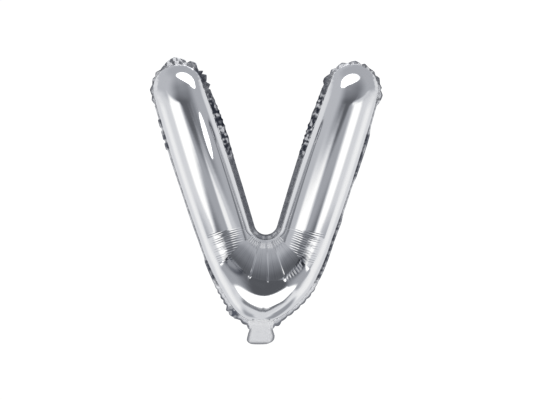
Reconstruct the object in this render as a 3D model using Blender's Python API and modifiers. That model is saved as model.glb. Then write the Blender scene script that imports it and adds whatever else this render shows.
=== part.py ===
# Silver foil balloon in the shape of the letter V, air filled, about 35 cm tall.
# Metres, +Z up, front towards -Y. The origin is on the fold line where the filling
# neck leaves the seam: a ribbon is tied round the balloon there.
import math

import bmesh
import bpy
from mathutils import Vector

COLLECTION = "letter_foil_balloon"

# Letter, seen from the front. Places are (x, z) of the right half, in the letter's own
# even shape; the left half mirrors it.
ARM_LEAN = math.radians(17.4)
CAP_CENTRE = Vector((0.1125, 0.3080))
CAP_RADIUS = 0.0328
CROTCH_CENTRE = Vector((0.0, 0.1366))
CROTCH_RADIUS = 0.0206
NOSE_BOTTOM = Vector((0.0, 0.0078))
NOSE_HANDLE = 0.036
ARM_FOOT = Vector((0.0846, 0.1130))
ARM_FOOT_HANDLE = 0.060
ARM_BOW = 0.0020

# The filled letter hangs a little to the right of its own neck.
SIDE_SHIFT = 0.0068
SIDE_SHIFT_HEIGHT = 0.055

# Depth of one inflated film panel, measured from the seam plane.
ARM_DEPTH = 0.0350
BELLY_DEPTH = 0.0430

# Film. The real film is about 0.04 mm thick; its outer face is in the true place.
PANEL_WALL = 0.0012
PANEL_RIM_Y = 0.0009
SEAM_THICKNESS = 0.0009

# Welded seam that stands out all round. It curls to the back on the arms' straight outer
# edges, and gathers into puckers where the outline is round.
ROUND_SEAM_WIDTH = 0.0068
INNER_SEAM_WIDTH = 0.0052
SEAM_OVERLAP = 0.0018
SEAM_GAP = 0.0003
SCALLOP_LENGTH = 0.0125
SCALLOP_CUT = 0.34
PUCKER_HEIGHT = 0.0017
OUTER_CURL = math.radians(70)
STRAIGHT_STEP = 0.0105
CROTCH_STEP = 0.0060
PUCKER_STEP = SCALLOP_LENGTH / 4

# Places where the seam is wider: the tall lobe over the left arm and the loose flaps at the
# top of both inner edges. Angles are about the cap's centre, 0 straight up, positive outward.
LOBE = {"extra": 0.0036, "from": math.radians(-40), "to": math.radians(30)}
FLAP = {"left": 0.0028, "right": 0.0016, "from_z": 0.215, "to_z": 0.315}

# Filling neck: (half width, height) down its side, its plies and the flat valve between.
NECK_SIDE = ((0.0150, -0.0012), (0.0155, -0.0060), (0.0176, -0.0115), (0.0182, -0.0160))
NECK_CORNER = (0.0145, -0.0193)
NECK_BOTTOM_Z = -0.0206
NECK_PLY = 0.0005
NECK_PLY_Y = 0.00085
NECK_ROOT_HALF = 0.0165
VALVE_THICKNESS = 0.0006
VALVE_HALF_WIDTH = 0.0105
VALVE_TOP_Z = -0.0012
VALVE_BOTTOM_Z = -0.0188
SEAM_END_Z = 0.0

# Mesh steps of a film panel.
SECTION_STEPS = 12
ELBOW_STEPS = 10
ARM_STEPS = 9
CAP_STEPS = 6
LINE_STEPS = 40

AXIS = Vector((math.sin(ARM_LEAN), math.cos(ARM_LEAN)))
ACROSS = Vector((math.cos(ARM_LEAN), -math.sin(ARM_LEAN)))
CROTCH_SWEEP = math.pi / 2 - ARM_LEAN


def smooth_step(share):
    """Rises from 0 to 1 as share does, level at both ends."""
    share = min(1.0, max(0.0, share))
    return share * share * (3 - 2 * share)


def hung(x, y, z):
    """Place in the finished letter of a point of the even one."""
    return Vector((x + SIDE_SHIFT * smooth_step(z / SIDE_SHIFT_HEIGHT), y, z))


def nose_point(share):
    """Point on the outer seam, from the bottom of the nose at 0 to the arm's foot at 1."""
    first_handle = NOSE_BOTTOM + Vector((NOSE_HANDLE, 0.0))
    last_handle = ARM_FOOT - AXIS * ARM_FOOT_HANDLE
    rest = 1 - share
    return (
        NOSE_BOTTOM * rest**3
        + first_handle * (3 * rest**2 * share)
        + last_handle * (3 * rest * share**2)
        + ARM_FOOT * share**3
    )


def crotch_point(angle):
    """Point on the inner seam's round end, angle measured from straight down."""
    return CROTCH_CENTRE + CROTCH_RADIUS * Vector((math.sin(angle), -math.cos(angle)))


def cap_point(angle):
    """Point on the cap's seam: 0 at the outer side, pi at the inner side."""
    return CAP_CENTRE + CAP_RADIUS * (ACROSS * math.cos(angle) + AXIS * math.sin(angle))


def arm_edges(share):
    """Inner and outer seam points of the straight arm, foot at 0 and cap at 1."""
    bow = ACROSS * ARM_BOW * math.sin(math.pi * share)
    outer = ARM_FOOT.lerp(cap_point(0.0), share) + bow
    inner = crotch_point(CROTCH_SWEEP).lerp(cap_point(math.pi), share) - bow
    return inner, outer


def rib_rows():
    """Ribs of the right half from the centre to the cap: inner end, outer end and depth."""
    rows = []
    for i in range(ELBOW_STEPS):
        share = i / ELBOW_STEPS
        depth = BELLY_DEPTH + (ARM_DEPTH - BELLY_DEPTH) * smooth_step(share)
        rows.append((crotch_point(CROTCH_SWEEP * share), nose_point(share), depth))
    for i in range(ARM_STEPS):
        share = i / ARM_STEPS
        inner, outer = arm_edges(share)
        rows.append((inner, outer, ARM_DEPTH + (CAP_RADIUS - ARM_DEPTH) * smooth_step(share)))
    for i in range(CAP_STEPS):
        angle = math.pi / 2 * i / CAP_STEPS
        rows.append((cap_point(math.pi - angle), cap_point(angle), CAP_RADIUS * math.cos(angle)))
    return rows


def half_outline():
    """Seam line of the right half, from the nose's bottom round the cap to the crotch."""
    shares = [i / LINE_STEPS for i in range(LINE_STEPS)]
    points = [nose_point(share) for share in shares]
    points += [arm_edges(share)[1] for share in shares]
    points += [cap_point(math.pi * share) for share in shares]
    points += [arm_edges(1 - share)[0] for share in shares]
    points += [crotch_point(CROTCH_SWEEP * (1 - share)) for share in shares]
    return points + [crotch_point(0.0)]


def pucker_share(point):
    """1 where the outline is round and the seam gathers into puckers, 0 where it is straight."""
    above_cap = (point - CAP_CENTRE).dot(AXIS)
    cap = smooth_step((above_cap + 0.020) / 0.020)
    nose = smooth_step((0.062 - point.y) / 0.020)
    return max(cap, nose)


def curl_share(point):
    """1 along an arm's straight outer edge, where the seam curls back, 0 over cap and nose."""
    from_cap = point - CAP_CENTRE
    if from_cap.dot(ACROSS) < 0:
        return 0.0
    below_top = 1 - smooth_step(from_cap.dot(AXIS) / CAP_RADIUS)
    return below_top * smooth_step((point.y - 0.030) / 0.040)


def seam_width(point):
    """Width of the flat seam: narrower along the straight inner edges than where it is round."""
    from_cap = point - CAP_CENTRE
    inner = smooth_step(-from_cap.dot(ACROSS) / CAP_RADIUS) * smooth_step(-from_cap.dot(AXIS) / CAP_RADIUS)
    straight = inner * smooth_step((point.y - CROTCH_CENTRE.y + CROTCH_RADIUS) / CROTCH_RADIUS)
    return ROUND_SEAM_WIDTH + (INNER_SEAM_WIDTH - ROUND_SEAM_WIDTH) * straight


def seam_stations():
    """Stations along the seam's right half, close together where it puckers."""
    outline = half_outline()
    stations = [outline[0]]
    travelled = 0.0
    for start, end in zip(outline, outline[1:]):
        travelled += (end - start).length
        at_crotch = end.x < CROTCH_RADIUS and end.y > ARM_FOOT.y
        plain_step = CROTCH_STEP if at_crotch else STRAIGHT_STEP
        if travelled >= plain_step + (PUCKER_STEP - plain_step) * pucker_share(end):
            stations.append(end)
            travelled = 0.0
    stations[-1] = outline[-1]
    return stations


def extra_width(point, is_left):
    """How much wider than usual the seam is at a point."""
    extra = 0.0
    from_cap = point - CAP_CENTRE
    if is_left and from_cap.y > 0:
        share = (math.atan2(from_cap.x, from_cap.y) - LOBE["from"]) / (LOBE["to"] - LOBE["from"])
        extra += LOBE["extra"] * math.sin(math.pi * min(1.0, max(0.0, share)))
    if from_cap.dot(ACROSS) < 0:
        share = (point.y - FLAP["from_z"]) / (FLAP["to_z"] - FLAP["from_z"])
        extra += FLAP["left" if is_left else "right"] * math.sin(math.pi * min(1.0, max(0.0, share)))
    return extra


def seam_columns(point, outward, travelled, is_left):
    """Points across the seam band at one station, from between the rims to its cut edge."""
    inner_columns = [(point + outward * reach, 0.0) for reach in (-SEAM_OVERLAP, SEAM_GAP)]
    if abs(point.x) < NECK_ROOT_HALF and point.y < ARM_FOOT.y / 2:
        drop = SEAM_END_Z - point.y
        outer_columns = [(point + Vector((0.0, drop * reach)), 0.0) for reach in (0.5, 1.0)]
        return inner_columns + outer_columns
    pucker = pucker_share(point)
    turn = math.pi * travelled / SCALLOP_LENGTH
    width = seam_width(point) * (1 - SCALLOP_CUT * pucker * (1 - abs(math.sin(turn))))
    width += extra_width(point, is_left)
    swing = PUCKER_HEIGHT * pucker * math.cos(2 * turn)
    curl = OUTER_CURL * curl_share(point)
    outer_columns = []
    for reach, bend_share, swing_share in ((0.5, 0.8, 0.45), (1.0, 1.0, 1.0)):
        bend = curl * bend_share
        place = point + outward * (SEAM_GAP + width * reach * math.cos(bend))
        outer_columns.append((place, width * reach * math.sin(bend) + swing * swing_share))
    return inner_columns + outer_columns


def seam_rows():
    """Rows of points across the seam band: the right half from nose to crotch, then the left."""
    stations = seam_stations()
    right, left = [], []
    travelled = 0.0
    for i, point in enumerate(stations):
        before = stations[i - 1] if i else Vector((-stations[1].x, stations[1].y))
        last = i + 1 == len(stations)
        after = Vector((-before.x, before.y)) if last else stations[i + 1]
        along = (after - before).normalized()
        outward = Vector((along.y, -along.x))
        travelled += (point - before).length if i else 0.0
        right.append([(p.x, y, p.y) for p, y in seam_columns(point, outward, travelled, False)])
        left.append([(-p.x, y, p.y) for p, y in seam_columns(point, outward, travelled, True)])
    return right + left[-2:0:-1]


def tint(obj, name, colour, roughness, metallic):
    """Gives the object its own Principled material."""
    material = bpy.data.materials.new(name)
    material.use_nodes = True
    shader = material.node_tree.nodes["Principled BSDF"]
    shader.inputs["Base Color"].default_value = (*colour, 1.0)
    shader.inputs["Roughness"].default_value = roughness
    shader.inputs["Metallic"].default_value = metallic
    obj.data.materials.append(material)


def new_object(name, data, collection):
    """Links a mesh, a curve or an empty as a named object."""
    obj = bpy.data.objects.new(name, data)
    collection.objects.link(obj)
    return obj


def lofted(name, rows, closed, collection):
    """Object with faces between rows of points that have the same count."""
    shape = bmesh.new()
    rings = [[shape.verts.new(hung(*place)) for place in row] for row in rows]
    following = rings[1:] + rings[:1] if closed else rings[1:]
    for ring, other in zip(rings, following):
        for k in range(len(ring) - 1):
            shape.faces.new((ring[k], ring[k + 1], other[k + 1], other[k]))
    bmesh.ops.remove_doubles(shape, verts=shape.verts, dist=0.00001)
    bmesh.ops.recalc_face_normals(shape, faces=shape.faces)
    mesh = bpy.data.meshes.new(name)
    shape.to_mesh(mesh)
    shape.free()
    mesh.shade_smooth()
    return new_object(name, mesh, collection)


def film_panel(name, side, collection):
    """One inflated film sheet, a thin shell open towards the seam. side is -1 at the front."""
    tip = cap_point(math.pi / 2)
    right = rib_rows() + [(tip, tip, 0.0)]
    left = [(Vector((-a.x, a.y)), Vector((-b.x, b.y)), depth) for a, b, depth in right[:0:-1]]
    rows = []
    for inner, outer, depth in left + right:
        middle, half = (inner + outer) / 2, (outer - inner) / 2
        row = []
        for k in range(SECTION_STEPS + 1):
            angle = math.pi * k / SECTION_STEPS
            place = middle - half * math.cos(angle)
            row.append((place.x, side * (PANEL_RIM_Y + depth * math.sin(angle)), place.y))
        rows.append(row)
    panel = lofted(name, rows, False, collection)
    wall = panel.modifiers.new("film", "SOLIDIFY")
    wall.thickness = PANEL_WALL
    wall.offset = -1
    wall.use_even_offset = True
    tint(panel, name + "_foil", (0.72, 0.73, 0.76), 0.12, 1.0)


def seam_flange(collection):
    """The welded band that stands out round the whole letter, one closed loop."""
    flange = lofted("seam_flange", seam_rows(), True, collection)
    wall = flange.modifiers.new("laminate", "SOLIDIFY")
    wall.thickness = SEAM_THICKNESS
    wall.offset = 0
    tint(flange, "seam_foil", (0.55, 0.56, 0.60), 0.2, 1.0)


def flat_film(name, outline, y, thickness, rounded, finish, neck, collection):
    """A flat ply from its closed outline of (x, z) points, hung from the neck's fold line."""
    curve = bpy.data.curves.new(name, "CURVE")
    curve.dimensions = "2D"
    curve.fill_mode = "BOTH"
    curve.extrude = thickness / 2
    curve.resolution_u = 4 if rounded else 1
    spline = curve.splines.new("BEZIER")
    spline.bezier_points.add(len(outline) - 1)
    ends = (0, len(outline) - 1)
    for i, (knot, (x, z)) in enumerate(zip(spline.bezier_points, outline)):
        knot.co = (x, z, 0.0)
        handle = "AUTO" if rounded and i not in ends else "VECTOR"
        knot.handle_left_type = knot.handle_right_type = handle
    spline.use_cyclic_u = True
    ply = new_object(name, curve, collection)
    ply.rotation_euler.x = math.pi / 2
    ply.location.y = y
    ply.parent = neck
    colour, roughness, metallic = finish
    tint(ply, name + "_film", colour, roughness, metallic)


def neck_outline():
    """Outline of a neck ply: waist at the top, flared mouth, rounded corners."""
    right = [*NECK_SIDE, NECK_CORNER]
    left = [(-x, z) for x, z in reversed(right)]
    return right + [(0.0, NECK_BOTTOM_Z)] + left


def build():
    """Clears the scene and models the balloon."""
    for old in list(bpy.data.objects):
        bpy.data.objects.remove(old)
    collection = bpy.data.collections.new(COLLECTION)
    bpy.context.scene.collection.children.link(collection)

    film_panel("front_panel", -1, collection)
    film_panel("back_panel", 1, collection)
    seam_flange(collection)

    neck = new_object("neck_fold_line", None, collection)
    silver = ((0.74, 0.75, 0.78), 0.15, 1.0)
    clear = ((0.85, 0.86, 0.88), 0.15, 0.0)
    outline = neck_outline()
    flat_film("neck_front", outline, -NECK_PLY_Y, NECK_PLY, True, silver, neck, collection)
    flat_film("neck_back", outline, NECK_PLY_Y, NECK_PLY, True, silver, neck, collection)
    sleeve = [
        (VALVE_HALF_WIDTH, VALVE_TOP_Z),
        (VALVE_HALF_WIDTH, VALVE_BOTTOM_Z),
        (-VALVE_HALF_WIDTH, VALVE_BOTTOM_Z),
        (-VALVE_HALF_WIDTH, VALVE_TOP_Z),
    ]
    flat_film("valve_sleeve", sleeve, 0.0, VALVE_THICKNESS, False, clear, neck, collection)


build()
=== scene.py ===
"""Looks of the silver foil balloon in the shape of the letter V.

The film panels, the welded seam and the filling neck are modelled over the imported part, in
metres, with the letter's front towards -Y and the neck's fold line at the origin.
"""

import logging
import math
from dataclasses import dataclass
from enum import Enum

import bpy
import numpy as np
from mathutils import Matrix, Vector, noise

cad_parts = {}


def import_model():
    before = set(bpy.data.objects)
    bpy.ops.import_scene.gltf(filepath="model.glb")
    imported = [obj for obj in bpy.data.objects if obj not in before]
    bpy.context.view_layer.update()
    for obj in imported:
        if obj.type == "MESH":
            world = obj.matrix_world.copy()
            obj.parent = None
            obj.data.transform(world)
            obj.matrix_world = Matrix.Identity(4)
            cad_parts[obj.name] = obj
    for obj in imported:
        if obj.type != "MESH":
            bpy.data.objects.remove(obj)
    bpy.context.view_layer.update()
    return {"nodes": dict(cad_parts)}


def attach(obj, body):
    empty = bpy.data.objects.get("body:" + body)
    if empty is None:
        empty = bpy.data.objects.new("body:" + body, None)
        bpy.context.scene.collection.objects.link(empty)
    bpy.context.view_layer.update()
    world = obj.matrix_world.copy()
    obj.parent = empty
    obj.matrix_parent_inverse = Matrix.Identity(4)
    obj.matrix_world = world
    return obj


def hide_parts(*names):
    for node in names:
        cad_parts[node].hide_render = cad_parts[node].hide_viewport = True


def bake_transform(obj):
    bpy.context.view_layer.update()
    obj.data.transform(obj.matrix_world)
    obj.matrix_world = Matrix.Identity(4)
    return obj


LOG = logging.getLogger("letter_balloon")
Array = np.ndarray
Colour = tuple[float, float, float]
# Where something starts, is full, begins to end and is gone.
Span = tuple[float, float, float, float]
Socket = bpy.types.NodeSocket
Tree = bpy.types.NodeTree


class Side(Enum):
    """The face of the letter that a film panel makes, as its direction along Y."""

    FRONT = -1
    BACK = 1


def smooth_step(share: Array) -> Array:
    """Rises from 0 to 1 as share does, level at both ends."""
    share = np.clip(share, 0.0, 1.0)
    return share * share * (3 - 2 * share)


def hump(place: Array, centre: float, reach: float) -> Array:
    """A round bump, 1 at centre and 0 from reach away."""
    return smooth_step(1 - np.abs(place - centre) / reach)


def ease(place: Array, start: float, end: float) -> Array:
    """0 before start and 1 after end, in either direction."""
    return smooth_step((place - start) / (end - start))


def span(place: Array, limits: Span) -> Array:
    """0 before the first limit, 1 between the middle two and 0 again after the last."""
    start, full, end, gone = limits
    return ease(place, start, full) * ease(place, gone, end)


def wave(place: Array, pitch: float) -> Array:
    """A cosine of this pitch, 1 at 0."""
    return np.cos(2 * np.pi * place / pitch)


def add_node(tree: Tree, kind: str, inputs: dict, **settings: str | bool) -> bpy.types.Node:
    """Adds a node.

    Args:
        tree: the node tree.
        kind: the node's type.
        inputs: the socket or the value that each of its inputs takes.
        settings: its other settings.

    Returns:
        The node.
    """
    node = tree.nodes.new(kind)
    for key, value in settings.items():
        setattr(node, key, value)
    for key, value in inputs.items():
        if isinstance(value, bpy.types.NodeSocket):
            tree.links.new(value, node.inputs[key])
        else:
            node.inputs[key].default_value = value
    return node


def calculate(tree: Tree, operation: str, *values: Socket | float) -> Socket:
    """Result of a new Math node on some values."""
    return add_node(tree, "ShaderNodeMath", dict(enumerate(values)), operation=operation).outputs[0]


def map_range(tree: Tree, value: Socket, old: tuple[float, float],
              new: tuple[float, float] = (0.0, 1.0), kind: str = "LINEAR") -> Socket:
    """A value taken from an old range to a new one, which it never leaves."""
    inputs = dict(zip(("Value", "From Min", "From Max", "To Min", "To Max"), (value, *old, *new)))
    return add_node(tree, "ShaderNodeMapRange", inputs, interpolation_type=kind).outputs["Result"]


def mix_colours(tree: Tree, share: Socket, first: Colour, second: Colour, clamped: bool) -> Socket:
    """A mix of two colours by a share, through the Mix node's sockets for colours."""
    inputs = {0: share, 6: (*first, 1.0), 7: (*second, 1.0)}
    return add_node(tree, "ShaderNodeMix", inputs, data_type="RGBA", clamp_factor=clamped).outputs[2]


@dataclass(frozen=True)
class LetterShape:
    """Weld line of the letter and the depth that it is blown to."""

    arm_lean: float = math.radians(17.4)
    cap_centre: tuple[float, float] = (0.1125, 0.3080)
    cap_radius: float = 0.0328
    crotch_centre: tuple[float, float] = (0.0, 0.1366)
    crotch_radius: float = 0.0206
    nose_bottom: tuple[float, float] = (0.0, 0.0078)
    nose_handle: float = 0.036
    arm_foot: tuple[float, float] = (0.0846, 0.1130)
    arm_foot_handle: float = 0.060
    arm_bow: float = 0.0020
    side_shift: float = 0.0068
    side_shift_height: float = 0.055
    arm_depth: float = 0.0350
    belly_depth: float = 0.0430
    arm_swell: float = 0.0020
    taper_length: float = 0.020
    taper_power: float = 1.65

    @property
    def along(self) -> Array:
        """Direction up the right arm, as (x, z)."""
        return np.array([math.sin(self.arm_lean), math.cos(self.arm_lean)])

    @property
    def across(self) -> Array:
        """Direction across the right arm to its outer side, as (x, z)."""
        return np.array([math.cos(self.arm_lean), -math.sin(self.arm_lean)])

    @property
    def sweep(self) -> float:
        """Angle from straight down to where the crotch's round turns into the straight arm."""
        return math.pi / 2 - self.arm_lean

    def nose_curve(self, shares: Array) -> Array:
        """Outer weld line from the bottom of the nose to the foot of the right arm.

        Args:
            shares: places along the curve, 0 at the bottom and 1 at the arm's foot.

        Returns:
            One (x, z) point for each share.
        """
        start, end = np.array(self.nose_bottom), np.array(self.arm_foot)
        first = start + np.array([self.nose_handle, 0.0])
        last = end - self.along * self.arm_foot_handle
        s = shares[:, None]
        rest = 1 - s
        return start * rest**3 + first * 3 * rest**2 * s + last * 3 * rest * s**2 + end * s**3

    def polar(self, places: Array) -> tuple[Array, Array]:
        """Distance from the crotch's centre and turn from straight down, of (x, z) places."""
        off = places - np.array(self.crotch_centre)
        return np.hypot(off[..., 0], off[..., 1]), np.arctan2(off[..., 0], -off[..., 1])

    def on_rays(self, turn: Array, reach: Array | float) -> Array:
        """Points at some reach from the crotch's centre, turned from straight down."""
        ray = np.stack([np.sin(turn), -np.cos(turn)], -1)
        return np.array(self.crotch_centre) + ray * np.reshape(reach, (-1, 1))

    def from_arm(self, places: Array, centre: tuple[float, float], flip: float) -> tuple[Array, Array]:
        """Distances of (x, z) places from a centre, across and along the left or the right arm."""
        turned = np.stack([self.across, self.along], -1) * np.array([[flip], [1.0]])
        return np.moveaxis((places - np.array(centre) * np.array([flip, 1.0])) @ turned, -1, 0)

    def crotch_points(self, turn: Array) -> Array:
        """Points of the inner weld line's round, turned from straight down."""
        return self.on_rays(turn, self.crotch_radius)

    def elbow_ends(self, turn: Array) -> tuple[Array, Array]:
        """Inner and outer weld points on rays from the crotch's centre."""
        radii, turns = self.polar(self.nose_curve(np.linspace(0, 1, 400)))
        return self.crotch_points(turn), self.on_rays(turn, np.interp(np.abs(turn), turns, radii))

    def cap_points(self, turn: Array) -> Array:
        """Points of the right cap's weld line: 0 at the outer side, pi at the inner side."""
        out, up = np.cos(turn)[:, None], np.sin(turn)[:, None]
        return np.array(self.cap_centre) + self.cap_radius * (self.across * out + self.along * up)

    def arm_ends(self, share: Array) -> tuple[Array, Array]:
        """Weld points of the straight right arm.

        Args:
            share: places along the arm, 0 at its foot and 1 at its cap.

        Returns:
            The inner and the outer points.
        """
        s = share[:, None]
        bow = self.across * self.arm_bow * np.sin(np.pi * s)
        foot = np.array(self.arm_foot)
        crotch = self.crotch_points(np.array([self.sweep]))
        cap = self.cap_points(np.array([0.0, math.pi]))
        return crotch + (cap[1] - crotch) * s - bow, foot + (cap[0] - foot) * s + bow

    def cap_ends(self, turn: Array) -> tuple[Array, Array]:
        """Inner and outer weld points of chords across the right cap, 0 at its foot."""
        return self.cap_points(math.pi - turn), self.cap_points(turn)

    def hung(self, points: Array) -> Array:
        """Moves 3-D points of the even letter to where they hang, a little right of the neck."""
        shift = self.side_shift * smooth_step(points[..., 2] / self.side_shift_height)
        return points + shift[..., None] * np.array([1.0, 0.0, 0.0])


@dataclass(frozen=True)
class FilmFinish:
    """Metallised plastic film: mirror bright, with faint unevenness and fine crumples."""

    name: str
    colour: Colour = (0.91, 0.91, 0.91)
    # Colour that the painted shade darkens the film towards.
    dark: Colour = (0.0, 0.01, 0.04)
    roughness: float = 0.07
    roughness_spread: float = 0.05
    crumple_size: float = 0.012
    crumple_height: float = 0.00002
    metallic: float = 1.0
    # Whether the mesh's painted shade and highlights are used, and how far painted highlights above 1
    # turn the film whitish and less metallic.
    shaded: bool = False
    painted_highlight_whiteness: float = 0.0

    def material(self) -> bpy.types.Material:
        """Builds the film's node material.

        Returns:
            The new material, its patterns on Object coordinates.
        """
        made = bpy.data.materials.new(self.name)
        made.use_nodes = True
        tree = made.node_tree
        shader = tree.nodes["Principled BSDF"]
        shader.inputs["Base Color"].default_value = (*self.colour, 1.0)
        shader.inputs["Metallic"].default_value = self.metallic
        self.add_patterns(tree, shader)
        if self.shaded:
            self.add_painted_light(tree, shader)
        return made

    def add_patterns(self, tree: Tree, shader: bpy.types.Node) -> None:
        """Adds uneven roughness and fine crumples.

        Args:
            tree: the material's node tree.
            shader: its Principled node.
        """
        place = tree.nodes.new("ShaderNodeTexCoord").outputs["Object"]
        cloud_inputs = {"Vector": place, "Scale": 0.6 / self.crumple_size, "Detail": 3.0}
        cloud = add_node(tree, "ShaderNodeTexNoise", cloud_inputs).outputs["Fac"]
        smoothest = max(0.02, self.roughness - self.roughness_spread)
        roughest = self.roughness + self.roughness_spread
        rough = map_range(tree, cloud, (0.0, 1.0), (smoothest, roughest))
        tree.links.new(rough, shader.inputs["Roughness"])
        crumple_inputs = {"Vector": place, "Scale": 1.0 / self.crumple_size, "Detail": 4.0}
        crumple = add_node(tree, "ShaderNodeTexNoise", crumple_inputs).outputs["Fac"]
        bump_inputs = {"Height": crumple, "Strength": 1.0, "Distance": self.crumple_height}
        bump = add_node(tree, "ShaderNodeBump", bump_inputs).outputs["Normal"]
        tree.links.new(bump, shader.inputs["Normal"])

    def add_painted_light(self, tree: Tree, shader: bpy.types.Node) -> None:
        """Adds the mesh's painted shade and highlights: darker film below 1, and whitish film above it.

        Args:
            tree: the material's node tree.
            shader: its Principled node.
        """
        shade = add_node(tree, "ShaderNodeAttribute", {}, attribute_name="shade").outputs["Fac"]
        tone = mix_colours(tree, shade, self.dark, self.colour, clamped=False)
        tree.links.new(tone, shader.inputs["Base Color"])
        # Painted highlights: shades above 1 make the film whitish and less metallic.
        if self.painted_highlight_whiteness:
            metal = (self.metallic, self.metallic - self.painted_highlight_whiteness)
            shine = map_range(tree, shade, (1.0, 1.1), metal)
            tree.links.new(shine, shader.inputs["Metallic"])


def deselect_all() -> None:
    """Clears the selection before an operator is used."""
    bpy.ops.object.select_all(action="DESELECT")


def sheet_of(name: str, points: Array, outward: Array, shade: Array | None = None,
             folds: Array | None = None) -> bpy.types.Object:
    """Shapes a grid primitive into a film sheet.

    Args:
        name: the piece's name.
        points: places of the grid's points, as (rows, columns, 3).
        outward: direction that the sheet's outer face looks to, on average.
        shade: how light each point is painted, for painted shade and highlights.
        folds: which points lie on a sharp fold; edges between two of them are sharp.

    Returns:
        The new object, smooth, with its place in its mesh.
    """
    rows, columns = points.shape[:2]
    deselect_all()
    bpy.ops.mesh.primitive_grid_add(x_subdivisions=columns - 1, y_subdivisions=rows - 1, size=1)
    sheet = bpy.context.object
    sheet.name = sheet.data.name = name
    sheet.data.vertices.foreach_set("co", points.reshape(-1).astype(np.float32))
    if shade is not None:
        tones = sheet.data.attributes.new("shade", "FLOAT", "POINT")
        tones.data.foreach_set("value", shade.reshape(-1).astype(np.float32))
    if folds is not None:
        ends = np.zeros(len(sheet.data.edges) * 2, dtype=np.int32)
        sheet.data.edges.foreach_get("vertices", ends)
        sharp = folds.reshape(-1)[ends.reshape(-1, 2)].all(axis=1)
        sheet.data.edges.foreach_set("use_edge_sharp", sharp)
    sheet.data.update()
    bpy.ops.object.mode_set(mode="EDIT")
    bpy.ops.mesh.select_all(action="SELECT")
    bpy.ops.mesh.remove_doubles(threshold=0.00002)
    bpy.ops.object.mode_set(mode="OBJECT")
    facing = np.zeros(len(sheet.data.polygons) * 3)
    sheet.data.polygons.foreach_get("normal", facing)
    if facing.reshape(-1, 3).mean(0) @ outward < 0:
        bpy.ops.object.mode_set(mode="EDIT")
        bpy.ops.mesh.select_all(action="SELECT")
        bpy.ops.mesh.flip_normals()
        bpy.ops.object.mode_set(mode="OBJECT")
    bpy.ops.object.shade_smooth()
    return sheet


def dress(sheet: bpy.types.Object, finish: FilmFinish, thickness: float, offset: float) -> None:
    """Makes a sheet a thin closed wall and gives it its finish.

    Args:
        sheet: the sheet.
        finish: its film.
        thickness: the wall's thickness in metres.
        offset: where the wall grows: -1 to the inside, 0 to both sides.
    """
    deselect_all()
    sheet.select_set(True)
    bpy.context.view_layer.objects.active = sheet
    wall = sheet.modifiers.new("wall", "SOLIDIFY")
    wall.thickness = thickness
    wall.offset = offset
    bpy.ops.object.modifier_apply(modifier=wall.name)
    sheet.data.materials.clear()
    sheet.data.materials.append(finish.material())


@dataclass(frozen=True)
class Crease:
    """A radial fold of the elbow's fan, between two of its flat facets."""

    turn: float
    end: float
    depth: float


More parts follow.
